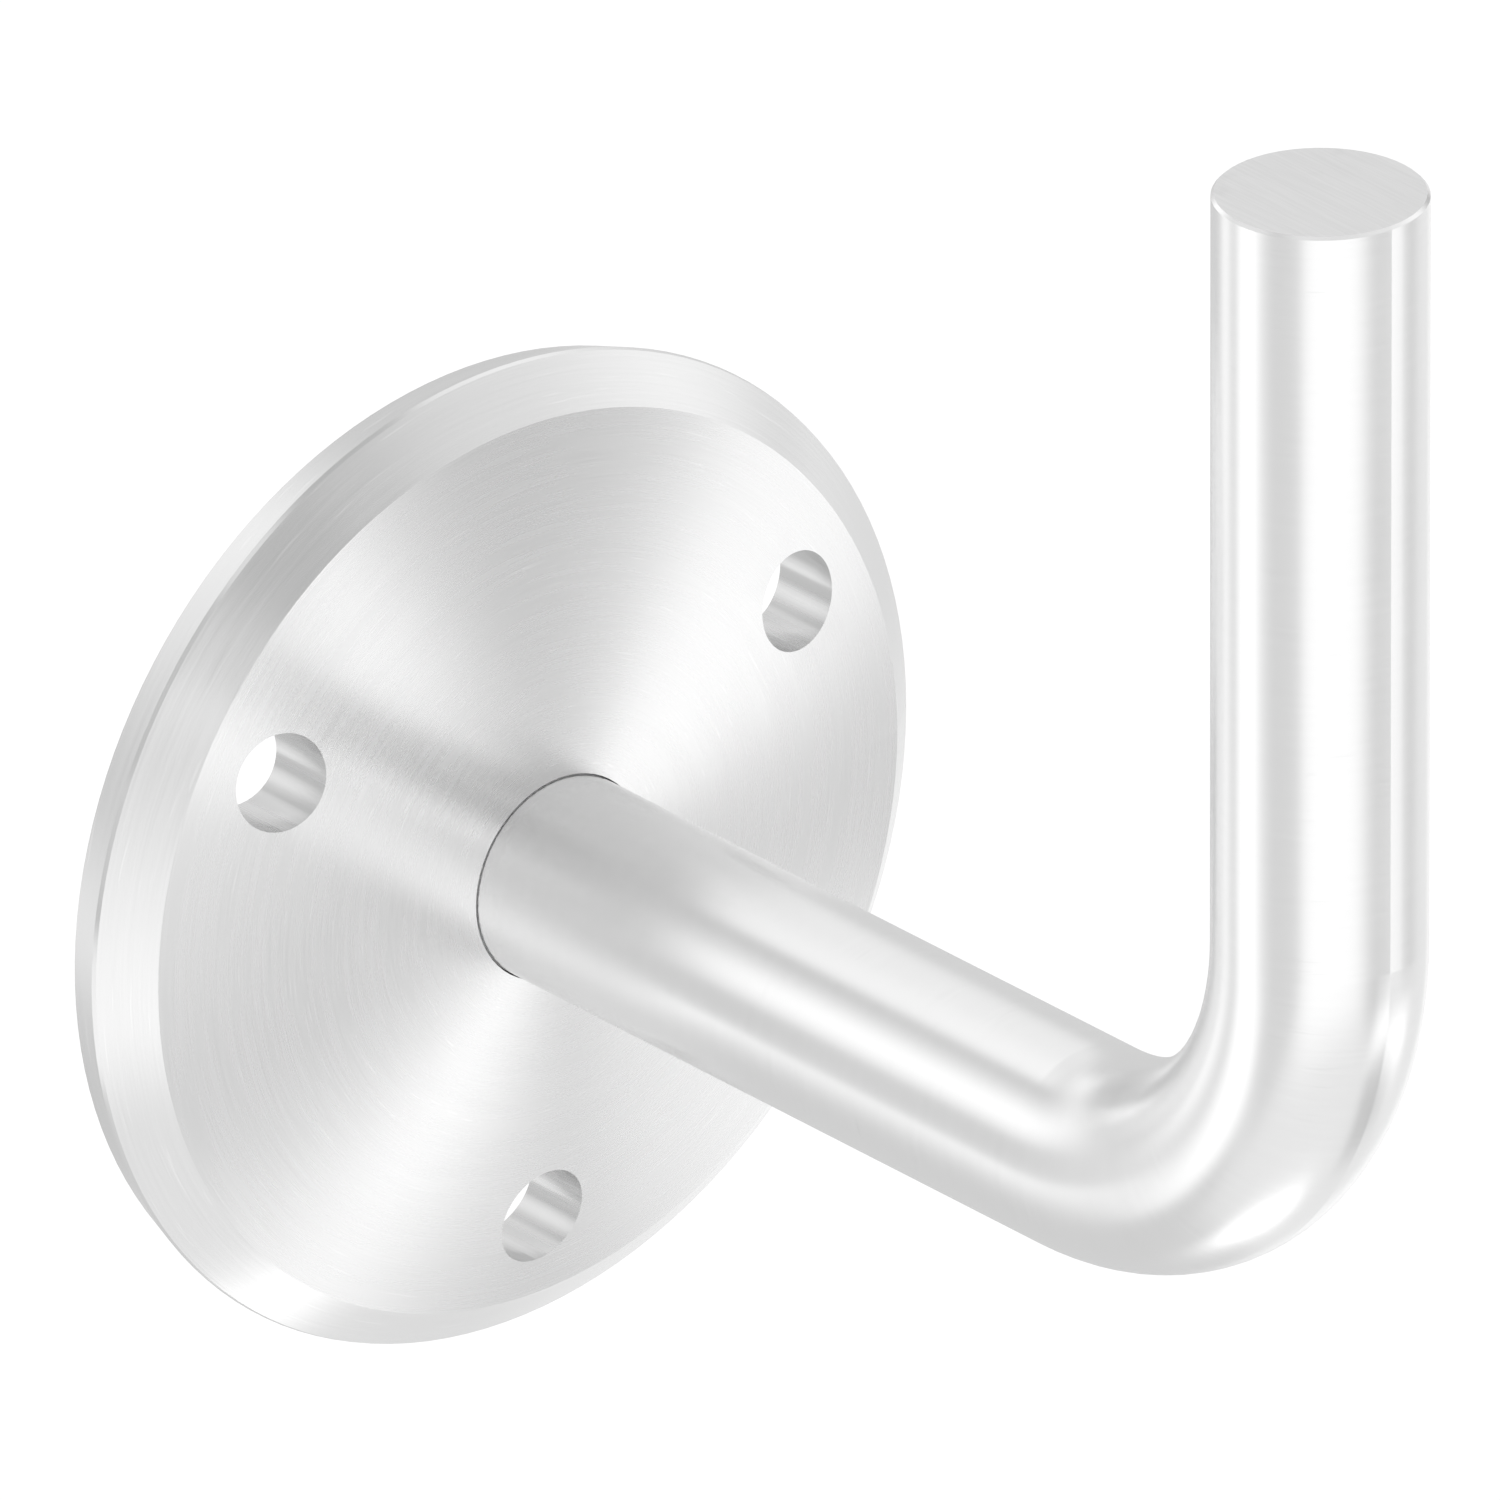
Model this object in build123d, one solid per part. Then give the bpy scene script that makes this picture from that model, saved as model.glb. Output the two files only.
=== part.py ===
"""Handrail bracket: a dished round wall plate with a bent round bar that carries the rail.

Frame: millimetres, +Z up. The wall is the plane Y = 0 and the bracket stands out of it
along -Y. The origin is the middle of the plate's back on the wall. A depth below is a
distance out of the wall, so a point at depth d has Y = -d.
"""

import os
from math import cos, radians, sin, sqrt, tan

from build123d import *

# Bent bar
BAR_D = 14.0            # round bar
REACH = 85.0            # wall to the axis of the upright
RISE = 75.3             # axis of the arm to the top end of the upright
BEND_INNER_R = 16.0     # inside of the bend
TOP_BREAK = 0.2         # broken edge at the top end
REAR_BREAK = 0.6        # broken edge at the end behind the plate
REAR_GAP = 1.0          # from the wall to the end behind the plate

# Wall plate
PLATE_D = 68.4          # widest diameter, at the foot of the bevel
PLATE_T = 4.8           # thickness at the middle
HOLLOW_DEPTH = 4.3      # depth of the hollow back at the middle
SEAT_W = 0.7            # width of the flat ring that lies on the wall
FACE_DOME_R = 146.0     # radius of the domed front
EDGE_H = 2.95           # height of the plain edge under the bevel
EDGE_LEAN = 17.0        # degrees that the plain edge leans out, away from the wall
BEVEL_W = 3.15          # width of the bevel, along the plate's radius
EDGE_BREAK = 0.2        # broken corner between the plain edge and the bevel, along each side

# Screw holes
HOLE_COUNT = 3
HOLE_D = 6.7
HOLE_INSET = 9.2        # from the widest diameter to the middle of a hole
FIRST_HOLE = 30.0       # degrees up from +X to the first hole

# Joint of bar and plate
BORE_CLEARANCE = 0.1    # radial gap round the bar in the plate
BEAD_LEG = 3.0          # width of the weld bead on the back of the plate
BEAD_SETBACK = 0.4      # from the bar's broken end edge to the tip of the bead

# Worked-out sizes
bar_r = BAR_D / 2
bend_r = BEND_INNER_R + bar_r
plate_r = PLATE_D / 2
plate_h = HOLLOW_DEPTH + PLATE_T
rim_r = plate_r - EDGE_H * tan(radians(EDGE_LEAN))
seat_r = rim_r - SEAT_W
face_r = plate_r - BEVEL_W
hollow_r = (seat_r**2 + HOLLOW_DEPTH**2) / (2 * HOLLOW_DEPTH)
bore_r = bar_r + BORE_CLEARANCE
hole_circle_r = plate_r - HOLE_INSET


def face_depth(r):
    """Depth of the domed front at radius r."""
    return plate_h - FACE_DOME_R + sqrt(FACE_DOME_R**2 - r**2)


def hollow_depth(r):
    """Depth of the hollow back at radius r."""
    return HOLLOW_DEPTH - hollow_r + sqrt(hollow_r**2 - r**2)


def profile_point(r, depth):
    """A point of a profile that is turned about the Y axis."""
    return (r, -depth)


def dome_arc(height_at, r_from, r_to):
    """Arc of a dome's profile between two radii."""
    radii = (r_from, (r_from + r_to) / 2, r_to)
    return ThreePointArc(*[profile_point(r, height_at(r)) for r in radii])


def turned(lines):
    """Solid of revolution about the Y axis from the lines and arcs of a closed profile."""
    edges = [edge for line in lines for edge in line.edges()]
    return revolve(make_face(Wire(edges)), Axis.Y)


def rod(radius, x, z, depth_from, depth_to):
    """Straight round rod square to the wall, used as a cutter."""
    base = Plane(origin=(x, -depth_from, z), z_dir=(0, -1, 0))
    return base * Cylinder(radius, depth_to - depth_from, align=(Align.CENTER, Align.CENTER, Align.MIN))


def make_wall_plate():
    """Dished disc with a bevelled edge, a bore for the bar and a ring of screw holes."""
    rim = Vector(profile_point(rim_r, 0))
    widest = Vector(profile_point(plate_r, EDGE_H))
    shoulder = Vector(profile_point(face_r, face_depth(face_r)))
    below_break = widest + (rim - widest).normalized() * EDGE_BREAK
    above_break = widest + (shoulder - widest).normalized() * EDGE_BREAK
    disc = turned(
        [
            Polyline(profile_point(seat_r, 0), rim, below_break, above_break, shoulder),
            dome_arc(face_depth, face_r, 0),
            Line(profile_point(0, plate_h), profile_point(0, HOLLOW_DEPTH)),
            dome_arc(hollow_depth, 0, seat_r),
        ]
    )
    disc -= rod(bore_r, 0, 0, -plate_h, 2 * plate_h)
    for i in range(HOLE_COUNT):
        angle = radians(FIRST_HOLE + i * 360 / HOLE_COUNT)
        x = hole_circle_r * cos(angle)
        z = hole_circle_r * sin(angle)
        disc -= rod(HOLE_D / 2, x, z, -plate_h, 2 * plate_h)
    return disc


def make_support_bar():
    """Round bar: out of the wall through the plate, one square bend, then up to a flat end."""
    arm_end = (0, -(REACH - bend_r), 0)
    upright_start = (0, -REACH, bend_r)
    elbow_middle = (
        0,
        -(REACH - bend_r + bend_r * sin(radians(45))),
        bend_r - bend_r * cos(radians(45)),
    )
    arm = Line((0, -REAR_GAP, 0), arm_end)
    elbow = ThreePointArc(arm_end, elbow_middle, upright_start)
    upright = Line(upright_start, (0, -REACH, RISE))
    section = Plane(origin=arm @ 0, z_dir=arm % 0) * Circle(bar_r)
    bar = sweep(section, Wire([arm, elbow, upright]))

    top = bar.faces().filter_by(Axis.Z).sort_by(Axis.Z)[-1]
    bar = chamfer(top.edges(), TOP_BREAK)
    rear = bar.faces().filter_by(Axis.Y).sort_by(Axis.Y)[-1]
    return chamfer(rear.edges(), REAR_BREAK)


def make_rear_weld():
    """Fillet weld bead round the bar, in the hollow behind the plate."""
    tip = profile_point(bar_r, REAR_GAP + REAR_BREAK + BEAD_SETBACK)
    root = profile_point(bar_r, hollow_depth(bar_r))
    toe_r = bar_r + BEAD_LEG
    toe = profile_point(toe_r, hollow_depth(toe_r))
    return turned([Polyline(root, tip, toe), dome_arc(hollow_depth, toe_r, bar_r)])


os.makedirs("parts", exist_ok=True)
export_step(make_wall_plate(), "parts/wall_plate.step")
export_step(make_support_bar(), "parts/support_bar.step")
export_step(make_rear_weld(), "parts/rear_weld.step")
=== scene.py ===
"""Looks of the handrail bracket: brushed steel plate, polished bar, and a white studio.

Everything is in metres, in the frame of the CAD model: the wall is the plane Y = 0 and
the bracket stands out of it along -Y, with +Z up.
"""

from math import cos, pi, radians, sin, tau
from typing import NamedTuple

import bmesh
import bpy
from mathutils import Matrix, Vector


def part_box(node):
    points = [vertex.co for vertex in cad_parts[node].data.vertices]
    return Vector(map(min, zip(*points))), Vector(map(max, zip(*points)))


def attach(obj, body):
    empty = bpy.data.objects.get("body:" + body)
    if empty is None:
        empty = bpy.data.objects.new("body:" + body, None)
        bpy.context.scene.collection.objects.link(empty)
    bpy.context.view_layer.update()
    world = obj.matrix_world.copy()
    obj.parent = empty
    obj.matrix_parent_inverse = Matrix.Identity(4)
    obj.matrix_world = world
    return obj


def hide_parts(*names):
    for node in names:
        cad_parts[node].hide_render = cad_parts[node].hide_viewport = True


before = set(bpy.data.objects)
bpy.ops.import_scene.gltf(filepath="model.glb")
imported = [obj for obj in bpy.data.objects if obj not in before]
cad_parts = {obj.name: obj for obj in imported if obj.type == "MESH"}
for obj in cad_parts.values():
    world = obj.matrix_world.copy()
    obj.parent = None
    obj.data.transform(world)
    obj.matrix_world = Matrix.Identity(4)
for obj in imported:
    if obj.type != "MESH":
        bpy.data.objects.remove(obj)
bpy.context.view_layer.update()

MM = 0.001

# Places taken from the frame
BAR_LOW, BAR_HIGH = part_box("support_bar")
BAR_R = BAR_HIGH.x
REACH = -BAR_LOW.y - BAR_R              # wall to the axis of the upright
BEND_R = 23 * MM                        # radius of the bar's axis in the bend
BEND_Y = -(REACH - BEND_R)              # middle of the bend
BEND_Z = BEND_R
WELD_LOW, WELD_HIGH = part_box("rear_weld")
PLATE_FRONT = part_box("wall_plate")[0].y  # where the bar comes out of the plate
BEVEL_START = 31.0 * MM                 # radius at which the plate's bevel starts

# Weld bead
WELD_LEG = 3.0 * MM                     # width of the bead, along the plate's radius
WELD_TOE_STEP = 0.28 * MM               # the toe lies this much nearer the wall than the root
WELD_CROWN = 0.22 * MM                  # height of the crown
WELD_RIPPLE = 0.09 * MM                 # height of a ripple on the crown
WELD_RIPPLES = 44
WELD_LAG = 2.2                          # how far a ripple trails at the crown, in radians
WELD_STEPS_ROUND = 528
WELD_STEPS_ACROSS = 12

# Camera, as in the photograph
CAMERA_AZIMUTH = -39.7                  # degrees, from the side of -X
CAMERA_ELEVATION = 25.0
CAMERA_ROLL = -0.14
CAMERA_AIM = Vector((-13.98, -45.0, 26.14)) * MM
FRAME_WIDTH = 96.1 * MM                 # what the picture spans at the aim
LENS = 1650.0                           # a long lens, for a nearly parallel view
SENSOR = 36.0

# Shades of the steel, and how much lighter or darker some places are
PLATE_SHADE = 0.86
BACK_LIGHTER = -0.06                    # the plate's turned back
DRILLED_PAINTED_SHADE = -0.08                 # painted shade: the walls of its holes and of the bore, darkened as recesses
PLATE_SCRATCH_LIGHTER = 0.05
BAR_SHADE = 0.91
BAR_SCRATCH_LIGHTER = -0.03
TOP_SHADE = 0.82                        # the bar's ground top end
TOP_SPAN = 0.10                         # from its darkest to its lightest ground line
WELD_SHADE = 0.57

# Roughness, and how far mirror images are drawn out across the grain, from 0 to 1
PLATE_ROUGHNESS = 0.27
BEVEL_ROUGHNESS = 0.235
BACK_ROUGHNESS = 0.42
BAR_ROUGHNESS = 0.255
TOP_ROUGHNESS = 0.45
WELD_ROUGHNESS = 0.38
UNPOLISHED_ROUGHNESS = 0.9              # in the narrow gap between bar and plate
PLATE_ANISOTROPY = 0.93
BAR_ANISOTROPY = 0.16

# Depth of the grain
PLATE_GRAIN = 0.001 * MM
BACK_GRAIN = 0.008 * MM
BAR_GRAIN = 0.0004 * MM
TOP_GRAIN = 0.0015 * MM
WELD_GRAIN = 0.006 * MM

# Noises: cells in a metre, and the peaks that are scratches, from their edge to their middle
PLATE_CLOUDS = 70.0
WELD_CLOUDS = 300.0
WELD_PITS = 2500.0
PLATE_SCRATCHES = (0.66, 0.78)
BAR_SCRATCHES = (0.68, 0.80)

# Faces told apart by their unit normal. From the first value to the second they fade over.
HOLE_WALL_Y = (0.08, 0.12)              # less than this, either way: the wall of a hole
BACK_Y = (0.5, 0.7)                     # more than this: the back of the plate
TOP_END_Z = (0.90, 0.95)                # more than this: the top end of the bar

# Floor under the bracket
FLOOR_DROP = 150 * MM
FLOOR_SIZE = 3.0
FLOOR_SHADE = (0.9, 0.9, 0.9, 1.0)
FLOOR_GLOW = 0.15

# Light levels of the studio
SWEEP_LEVEL = 0.87                      # the white sweep all round, as the steel mirrors it
PLAIN_LEVEL = 1.0                       # the same for the eye and for matt surfaces


class Panel(NamedTuple):
    """A soft-edged lamp or flag of the studio. Angles are in degrees, as seen from the bracket:
    azimuth 0 is straight out of the wall and 90 is +X, and turn lifts the panel's +X side."""

    azimuth: float
    elevation: float
    turn: float
    width: float
    height: float
    edge: float                         # width of the soft border
    level: float


# In front. Seen by the camera, the plate mirrors the spot at azimuth 40, elevation -25, drawn out
# along its radii, so the panels round that spot make its white fans and the grey between them.
LEFT_LAMP = Panel(-30, -18, 10, 60, 40, 20, level=1.15)
RIGHT_LAMP = Panel(85, 25, 130, 30, 110, 40, level=1.1)
FRONT_FLAG = Panel(10, 27, 55, 40, 100, 12, level=0.52)
FRONT_STRIP = Panel(6, 0, 54, 12, 46, 10, level=1.5)
STRIP_LOW_END = Panel(22, -11, 54, 12, 14, 8, level=1.9)
STRIP_HIGH_END = Panel(-10, 12, 54, 14, 18, 8, level=2.3)
PLATE_LAMP = Panel(44, -30, -15, 18, 30, 15, level=1.85)
PLATE_FLAG_LEFT = Panel(28, -25, 120, 14, 27, 15, level=0.46)
PLATE_FLAG_RIGHT = Panel(67, -24, 25, 45, 10, 5, level=0.58)
PLATE_FLAG_LOW = Panel(55, -50, 60, 17, 29, 5, level=0.55)
ARM_LAMP = Panel(66, -36, 0, 20, 8, 8, level=1.5)
BEVEL_FLAG = Panel(-30, 28, 0, 14, 16, 8, level=0.4)
LEFT_FLAG = Panel(-65, -10, 140, 25, 90, 5, level=0.72)

# Behind and below, for the bands along the bar and round the edge of the plate
WALL_SIDE = Panel(175, -25, 25, 80, 110, 5, level=0.67)
LOW_LEFT_LAMP = Panel(-125, -20, 15, 25, 45, 10, level=1.3)
REAR_WINDOW = Panel(-160, 25, 90, 25, 60, 20, level=1.4)
REAR_LAMP = Panel(-160, -20, 130, 20, 10, 20, level=1.5)
FAR_LEFT_FLAG = Panel(-110, 0, 105, 25, 65, 5, level=0.67)
REAR_FLAG = Panel(-170, 45, 45, 20, 55, 40, level=0.4)
REAR_STRIP = Panel(170, 50, 85, 10, 40, 10, level=1.4)
BEVEL_LAMP = Panel(125, -35, 0, 16, 24, 10, level=1.1)
FLOOR_LAMP = Panel(140, -85, 0, 20, 12, 15, level=2.3)

# Beside and above, for bands on the steel as seen from its sides
LEFT_SIDE_FLAG = Panel(-92, 20, 0, 24, 70, 12, level=0.25)
RIGHT_SIDE_FLAG = Panel(104, 25, 0, 24, 50, 12, level=0.35)
TOP_FLAG = Panel(180, 75, 0, 30, 24, 15, level=0.4)

# Laid one over the other, the last on top
STUDIO_PANELS = [
    LEFT_SIDE_FLAG,
    RIGHT_SIDE_FLAG,
    TOP_FLAG,
    LEFT_LAMP,
    RIGHT_LAMP,
    FRONT_FLAG,
    FRONT_STRIP,
    STRIP_LOW_END,
    STRIP_HIGH_END,
    PLATE_LAMP,
    PLATE_FLAG_LEFT,
    WALL_SIDE,
    PLATE_FLAG_RIGHT,
    FLOOR_LAMP,
    LOW_LEFT_LAMP,
    REAR_WINDOW,
    LEFT_FLAG,
    PLATE_FLAG_LOW,
    REAR_LAMP,
    FAR_LEFT_FLAG,
    REAR_FLAG,
    REAR_STRIP,
    ARM_LAMP,
    BEVEL_LAMP,
    BEVEL_FLAG,
]


class Tree:
    """Builds a shader's nodes with short calls. A value is a number, a vector or a socket."""

    def __init__(self, tree):
        self.nodes = tree.nodes
        self.links = tree.links
        self.nodes.clear()

    def node(self, kind, inputs=None, **settings):
        made = self.nodes.new(kind)
        for name, value in settings.items():
            setattr(made, name, value)
        for key, value in (inputs or {}).items():
            self.plug(made.inputs[key], value)
        return made

    def plug(self, socket, value):
        if isinstance(value, bpy.types.NodeSocket):
            self.links.new(value, socket)
        else:
            socket.default_value = value

    def math(self, operation, *values):
        return self.node("ShaderNodeMath", dict(enumerate(values)), operation=operation).outputs[0]

    def vector(self, operation, *values):
        made = self.node("ShaderNodeVectorMath", dict(enumerate(values)), operation=operation)
        scalar = operation in ("LENGTH", "DOT_PRODUCT")
        return made.outputs["Value" if scalar else "Vector"]

    def scaled(self, vector, factor):
        return self.vector("MULTIPLY", vector, (factor, factor, factor))

    def ramp(self, value, low, high, to_low=0.0, to_high=1.0):
        """value carried smoothly from low..high to to_low..to_high, and held outside of it."""
        inputs = {
            "Value": value,
            "From Min": low,
            "From Max": high,
            "To Min": to_low,
            "To Max": to_high,
        }
        return self.node("ShaderNodeMapRange", inputs, interpolation_type="SMOOTHSTEP").outputs[0]

    def mix(self, share, a, b):
        made = self.node("ShaderNodeMix", {"Factor": share, "A": a, "B": b}, data_type="FLOAT")
        return made.outputs[0]

    def mix_vector(self, share, a, b):
        """The same for vectors, whose sockets on this node have the numbers 4, 5 and 1."""
        return self.node("ShaderNodeMix", {0: share, 4: a, 5: b}, data_type="VECTOR").outputs[1]

    def split(self, vector):
        return self.node("ShaderNodeSeparateXYZ", {0: vector}).outputs

    def join(self, x, y, z):
        return self.node("ShaderNodeCombineXYZ", {0: x, 1: y, 2: z}).outputs[0]

    def noise(self, place, detail):
        inputs = {"Vector": place, "Scale": 1.0, "Detail": detail}
        return self.node("ShaderNodeTexNoise", inputs).outputs[0]

    def varied(self, middle, *parts):
        """middle with noises added: each part is a noise from 0 to 1 and the span that it adds."""
        total = middle
        for noise, span in parts:
            total = self.math("MULTIPLY_ADD", self.math("SUBTRACT", noise, 0.5), span, total)
        return total

    def grey(self, value):
        return self.node("ShaderNodeCombineColor", {0: value, 1: value, 2: value}).outputs[0]


def new_material(name):
    material = bpy.data.materials.new(name)
    material.use_nodes = True
    return material, Tree(material.node_tree)


def finish_steel(tree, shade, roughness, anisotropy, across_grain, relief, depth):
    """Metal with a grain, whose relief goes from 0 to 1 and is depth metres deep. Mirror images are
    drawn out along across_grain."""
    bump = tree.node("ShaderNodeBump", {"Strength": 1.0, "Distance": depth, "Height": relief})
    steel = tree.node(
        "ShaderNodeBsdfPrincipled",
        {
            "Base Color": tree.grey(shade),
            "Metallic": 1.0,
            "Roughness": roughness,
            "Anisotropic": anisotropy,
            "Tangent": across_grain,
            "Normal": bump.outputs[0],
        },
    )
    out = tree.node("ShaderNodeOutputMaterial")
    tree.links.new(steel.outputs[0], out.inputs[0])


def plate_finish():
    """Plate brushed in rings round its middle, with drilled holes and a coarser turned back."""
    material, tree = new_material("plate_brushed_steel")
    place = tree.node("ShaderNodeTexCoord").outputs["Object"]
    normal = tree.node("ShaderNodeNewGeometry").outputs["True Normal"]
    x, _, z = tree.split(place)
    _, normal_y, _ = tree.split(normal)
    flat_place = tree.join(x, 0.0, z)
    outward = tree.vector("NORMALIZE", flat_place)
    radius = tree.vector("LENGTH", flat_place)

    drilled = tree.ramp(tree.math("ABSOLUTE", normal_y), *HOLE_WALL_Y, to_low=1.0, to_high=0.0)
    by_the_bar = tree.ramp(radius, BAR_R + MM, BAR_R + 2 * MM, to_low=1.0, to_high=0.0)
    bore = tree.math("MULTIPLY", drilled, by_the_bar)
    back = tree.ramp(normal_y, *BACK_Y)
    bevel = tree.ramp(radius, BEVEL_START - 0.1 * MM, BEVEL_START + 0.1 * MM)

    def rings(width, turn, shift=0.0):
        """Place for a noise drawn out round the plate: width across a line, and turn along it in
        radians. Each shift gives other lines."""
        across = tree.math("MULTIPLY_ADD", radius, 1 / width, shift)
        return tree.vector("ADD", tree.scaled(outward, 1 / turn), tree.join(0.0, across, 0.0))

    hair = tree.noise(rings(width=0.13 * MM, turn=0.30), detail=1.0)
    lines = tree.noise(rings(width=0.26 * MM, turn=0.22, shift=40.0), detail=1.0)
    broad = tree.noise(rings(width=1.3 * MM, turn=0.6, shift=80.0), detail=2.0)
    cloud = tree.noise(tree.scaled(place, PLATE_CLOUDS), detail=2.0)
    scratch = tree.noise(rings(width=0.18 * MM, turn=0.16, shift=120.0), detail=1.0)
    scratch = tree.ramp(scratch, *PLATE_SCRATCHES)
    grooves = tree.noise(rings(width=0.45 * MM, turn=4.0, shift=160.0), detail=1.0)

    shade = tree.varied(PLATE_SHADE, (hair, 0.05), (lines, 0.04), (cloud, 0.03))
    shade = tree.math("MULTIPLY_ADD", scratch, PLATE_SCRATCH_LIGHTER, shade)
    shade = tree.math("MULTIPLY_ADD", back, BACK_LIGHTER, shade)
    # Painted shade: the walls of the holes and of the bore are darkened, as the shade in those recesses
    shade = tree.math("MULTIPLY_ADD", drilled, DRILLED_PAINTED_SHADE, shade)

    rough = tree.mix(bevel, PLATE_ROUGHNESS, BEVEL_ROUGHNESS)
    rough = tree.mix(back, rough, BACK_ROUGHNESS)
    rough = tree.mix(bore, rough, UNPOLISHED_ROUGHNESS)
    rough = tree.varied(rough, (hair, 0.03), (lines, 0.04), (broad, 0.03))

    across_grain = tree.mix_vector(drilled, outward, (0.0, 1.0, 0.0))
    relief = tree.mix(back, tree.varied(0.5, (lines, 0.5), (broad, 1.5)), grooves)
    depth = tree.mix(back, PLATE_GRAIN, BACK_GRAIN)
    finish_steel(tree, shade, rough, PLATE_ANISOTROPY, across_grain, relief, depth)
    return material


def bar_frame(tree):
    """The bar's own coordinates, as if it were straight: across, up, along, and the way along it."""
    place = tree.node("ShaderNodeTexCoord").outputs["Object"]
    x, y, z = tree.split(place)
    past_y = tree.math("SUBTRACT", y, BEND_Y)
    past_z = tree.math("SUBTRACT", z, BEND_Z)
    in_y = tree.math("MINIMUM", past_y, 0.0)
    in_z = tree.math("MINIMUM", past_z, 0.0)
    spoke = tree.join(0.0, in_y, in_z)
    up = tree.vector("LENGTH", spoke)
    out_y = tree.math("MULTIPLY", in_y, -1.0)
    out_z = tree.math("MULTIPLY", in_z, -1.0)
    along = tree.math("MULTIPLY", tree.math("ARCTAN2", out_y, out_z), BEND_R)
    along = tree.math("SUBTRACT", along, tree.math("MAXIMUM", past_y, 0.0))
    along = tree.math("ADD", along, tree.math("MAXIMUM", past_z, 0.0))
    way = tree.vector("NORMALIZE", tree.vector("CROSS_PRODUCT", spoke, (1.0, 0.0, 0.0)))
    return x, y, z, up, along, way


def bar_finish():
    """Bar polished round its axis, with faint cross lines and a ground top end."""
    material, tree = new_material("bar_polished_steel")
    x, y, z, up, along, way = bar_frame(tree)
    normal = tree.node("ShaderNodeNewGeometry").outputs["True Normal"]
    _, _, normal_z = tree.split(normal)
    faces_up = tree.ramp(normal_z, *TOP_END_Z)
    at_top = tree.ramp(z, BAR_HIGH.z - MM, BAR_HIGH.z - 0.5 * MM)
    top = tree.math("MULTIPLY", faces_up, at_top)
    in_the_bore = tree.ramp(y, PLATE_FRONT, PLATE_FRONT + 0.05 * MM)

    def rings(width, length, shift=0.0):
        """Place for a noise drawn out round the bar: width along the bar, and length round it.
        Each shift gives other lines."""
        return tree.join(
            tree.math("MULTIPLY", x, 1 / length),
            tree.math("MULTIPLY", up, 1 / length),
            tree.math("MULTIPLY_ADD", along, 1 / width, shift),
        )

    hair = tree.noise(rings(width=0.14 * MM, length=6 * MM), detail=1.0)
    lines = tree.noise(rings(width=0.35 * MM, length=5 * MM, shift=40.0), detail=1.0)
    cloud = tree.noise(rings(width=9 * MM, length=9 * MM, shift=80.0), detail=2.0)
    scratch = tree.noise(rings(width=0.16 * MM, length=3 * MM, shift=120.0), detail=1.0)
    scratch = tree.ramp(scratch, *BAR_SCRATCHES)
    ground_width, ground_length = 0.2 * MM, 5 * MM
    ground_place = tree.join(
        tree.math("MULTIPLY", x, 1 / ground_width),
        tree.math("MULTIPLY", y, 1 / ground_length),
        tree.math("MULTIPLY", z, 1 / MM),
    )
    ground = tree.noise(ground_place, detail=2.0)

    shade = tree.mix(top, BAR_SHADE, TOP_SHADE)
    shade = tree.varied(shade, (hair, 0.02), (lines, 0.02), (cloud, 0.02))
    shade = tree.varied(shade, (ground, tree.math("MULTIPLY", top, TOP_SPAN)))
    shade = tree.math("MULTIPLY_ADD", scratch, BAR_SCRATCH_LIGHTER, shade)

    rough = tree.mix(top, BAR_ROUGHNESS, TOP_ROUGHNESS)
    rough = tree.varied(rough, (hair, 0.015), (lines, 0.02), (cloud, 0.02))
    rough = tree.mix(in_the_bore, rough, UNPOLISHED_ROUGHNESS)

    relief = tree.mix(top, lines, ground)
    depth = tree.mix(top, BAR_GRAIN, TOP_GRAIN)
    finish_steel(tree, shade, rough, BAR_ANISOTROPY, way, relief, depth)
    return material


def weld_finish():
    """Weld metal as it froze: even grey, slightly rough."""
    material, tree = new_material("weld_steel_rippled")
    place = tree.node("ShaderNodeTexCoord").outputs["Object"]
    pits = tree.noise(tree.scaled(place, WELD_PITS), detail=3.0)
    cloud = tree.noise(tree.scaled(place, WELD_CLOUDS), detail=2.0)
    shade = tree.varied(WELD_SHADE, (cloud, 0.12))
    rough = tree.varied(WELD_ROUGHNESS, (cloud, 0.2))
    finish_steel(tree, shade, rough, 0.0, (1.0, 0.0, 0.0), pits, WELD_GRAIN)
    return material


def weld_section(turn):
    """Points across the bead at an angle round the bar, from its tip on the bar to its toe."""
    tip = Vector((WELD_HIGH.z - WELD_LEG, WELD_HIGH.y))
    toe = Vector((WELD_HIGH.z, WELD_LOW.y + WELD_TOE_STEP))
    outward = Vector((toe.y - tip.y, tip.x - toe.x)).normalized()
    if outward.y < 0:
        outward = -outward
    points = []
    for k in range(WELD_STEPS_ACROSS + 1):
        share = k / WELD_STEPS_ACROSS
        arch = sin(pi * share)
        ripple = abs(sin(WELD_RIPPLES * turn / 2 + WELD_LAG * arch))
        lift = WELD_CROWN * arch + WELD_RIPPLE * ripple * arch
        point = tip.lerp(toe, share) + outward * lift
        points.append((point.x * cos(turn), point.y, point.x * sin(turn)))
    return points


def weld_bead():
    """Ring of weld round the bar behind the plate, with the ripples that a weld freezes in."""
    mesh = bpy.data.meshes.new("rear_weld_bead")
    shape = bmesh.new()
    rows = []
    for i in range(WELD_STEPS_ROUND):
        section = weld_section(tau * i / WELD_STEPS_ROUND)
        rows.append([shape.verts.new(point) for point in section])
    for i, row in enumerate(rows):
        following = rows[(i + 1) % len(rows)]
        for k in range(WELD_STEPS_ACROSS):
            shape.faces.new((row[k], row[k + 1], following[k + 1], following[k]))
    bmesh.ops.recalc_face_normals(shape, faces=shape.faces)
    shape.to_mesh(mesh)
    shape.free()
    for polygon in mesh.polygons:
        polygon.use_smooth = True
    bead = bpy.data.objects.new("rear_weld_bead", mesh)
    bpy.context.scene.collection.objects.link(bead)
    return bead


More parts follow.
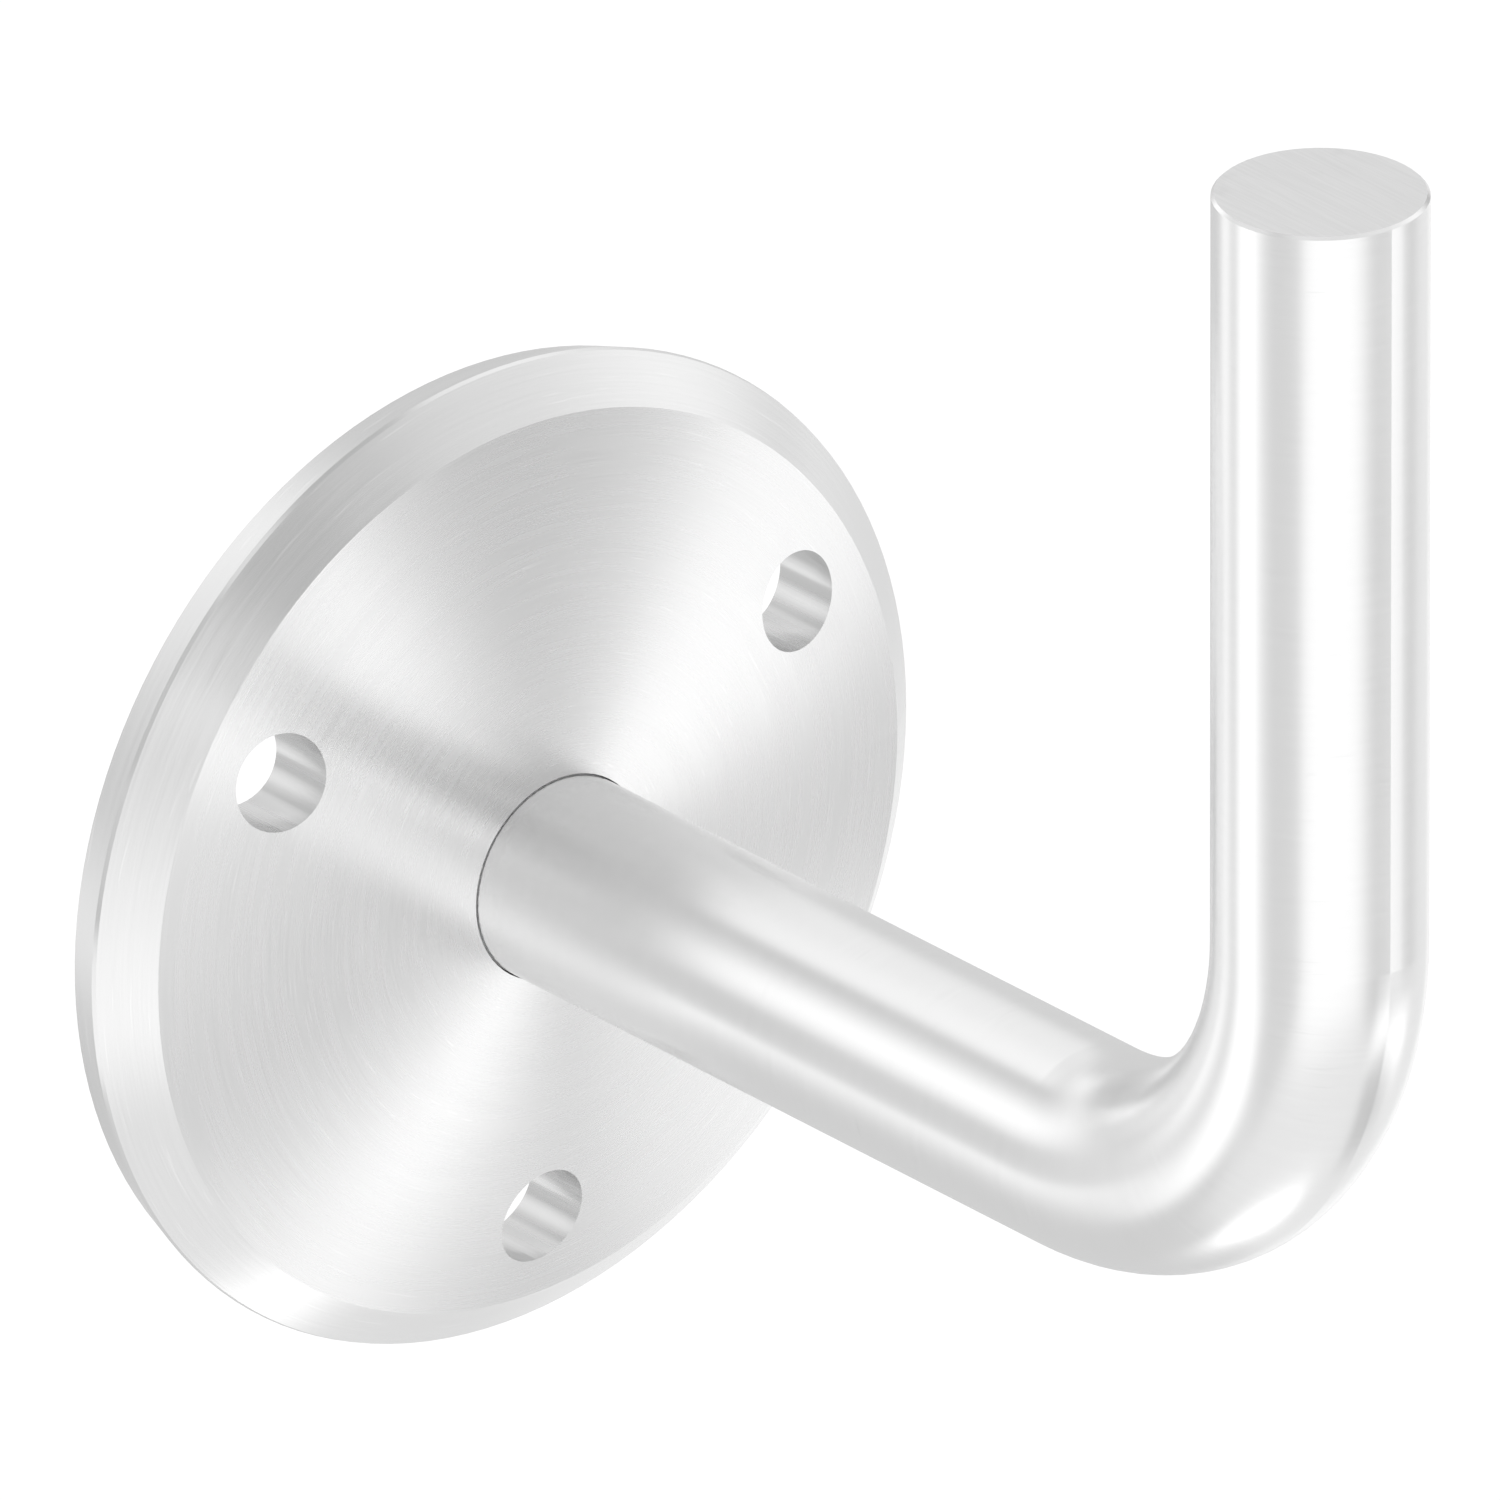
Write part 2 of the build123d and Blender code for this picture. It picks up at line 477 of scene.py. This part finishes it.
def direction(azimuth, elevation):
    """Unit vector from the bracket at these angles in degrees, which are a panel's angles."""
    a, e = radians(azimuth), radians(elevation)
    return Vector((sin(a) * cos(e), -cos(a) * cos(e), sin(e)))


def softbox(tree, way, light, panel):
    """light, a level, with one panel laid over it. way is the direction that is looked at."""
    aim = direction(panel.azimuth, panel.elevation)
    right = direction(panel.azimuth + 90, 0)
    above = aim.cross(right)
    turn = radians(panel.turn)
    side = right * cos(turn) + above * sin(turn)
    top = above * cos(turn) - right * sin(turn)

    def share(angle, size):
        """1 inside the panel and 0 outside, along one of its sides."""
        inner, outer = radians(size - panel.edge) / 2, radians(size + panel.edge) / 2
        return tree.ramp(tree.math("ABSOLUTE", angle), inner, outer, to_low=1.0, to_high=0.0)

    facing = tree.vector("DOT_PRODUCT", way, aim)
    across = tree.math("ARCTAN2", tree.vector("DOT_PRODUCT", way, side), facing)
    upward = tree.math("ARCSINE", tree.vector("DOT_PRODUCT", way, top))
    cover = tree.math("MULTIPLY", share(across, panel.width), share(upward, panel.height))
    return tree.mix(cover, light, panel.level)


def studio():
    """White sweep all round the bracket, with the lamps and grey flags that the steel mirrors."""
    world = bpy.data.worlds.new("studio")
    world.use_nodes = True
    world.cycles.sampling_method = "NONE"
    bpy.context.scene.world = world
    tree = Tree(world.node_tree)
    way = tree.node("ShaderNodeTexCoord").outputs["Generated"]

    light = SWEEP_LEVEL
    for panel in STUDIO_PANELS:
        light = softbox(tree, way, light, panel)

    path = tree.node("ShaderNodeLightPath").outputs
    plain = tree.math("SUBTRACT", 1.0, path["Is Glossy Ray"])
    strength = tree.mix(plain, light, PLAIN_LEVEL)
    background = tree.node("ShaderNodeBackground", {"Color": (1.0, 1.0, 1.0, 1.0), "Strength": strength})
    out = tree.node("ShaderNodeOutputWorld")
    tree.links.new(background.outputs[0], out.inputs[0])


def floor():
    """Plain white floor well under the bracket, with a faint glow that keeps it white to the eye."""
    bpy.ops.mesh.primitive_plane_add(size=FLOOR_SIZE, location=(0, 0, -FLOOR_DROP))
    plane = bpy.context.object
    plane.name = "floor"
    plane.visible_glossy = False
    material, tree = new_material("floor_white")
    path = tree.node("ShaderNodeLightPath").outputs
    seen = tree.math("MAXIMUM", path["Is Camera Ray"], path["Is Glossy Ray"])
    seen = tree.math("MAXIMUM", seen, path["Is Transmission Ray"])
    matt = tree.node("ShaderNodeBsdfDiffuse", {"Color": FLOOR_SHADE})
    glow = tree.node("ShaderNodeEmission", {"Strength": tree.math("MULTIPLY", seen, FLOOR_GLOW)})
    both = tree.node("ShaderNodeAddShader", {0: matt.outputs[0], 1: glow.outputs[0]})
    out = tree.node("ShaderNodeOutputMaterial")
    tree.links.new(both.outputs[0], out.inputs[0])
    plane.data.materials.append(material)


def camera():
    """Long lens at the photograph's angle."""
    data = bpy.data.cameras.new("camera")
    data.sensor_width = SENSOR
    data.lens = LENS
    back = direction(CAMERA_AZIMUTH, CAMERA_ELEVATION)
    distance = FRAME_WIDTH * LENS / SENSOR
    data.clip_start = distance / 4
    data.clip_end = distance * 4
    made = bpy.data.objects.new("camera", data)
    bpy.context.scene.collection.objects.link(made)
    place = Matrix.Translation(CAMERA_AIM + back * distance)
    turn = (-back).to_track_quat("-Z", "Y").to_matrix().to_4x4()
    roll = Matrix.Rotation(radians(CAMERA_ROLL), 4, "Z")
    made.matrix_world = place @ turn @ roll
    bpy.context.scene.camera = made


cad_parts["wall_plate"].material_slots[0].material = plate_finish()
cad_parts["support_bar"].material_slots[0].material = bar_finish()

bead = weld_bead()
bead.data.materials.append(weld_finish())
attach(bead, "root")
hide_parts("rear_weld")

studio()
floor()
camera()
bpy.context.scene.view_settings.view_transform = "Standard"
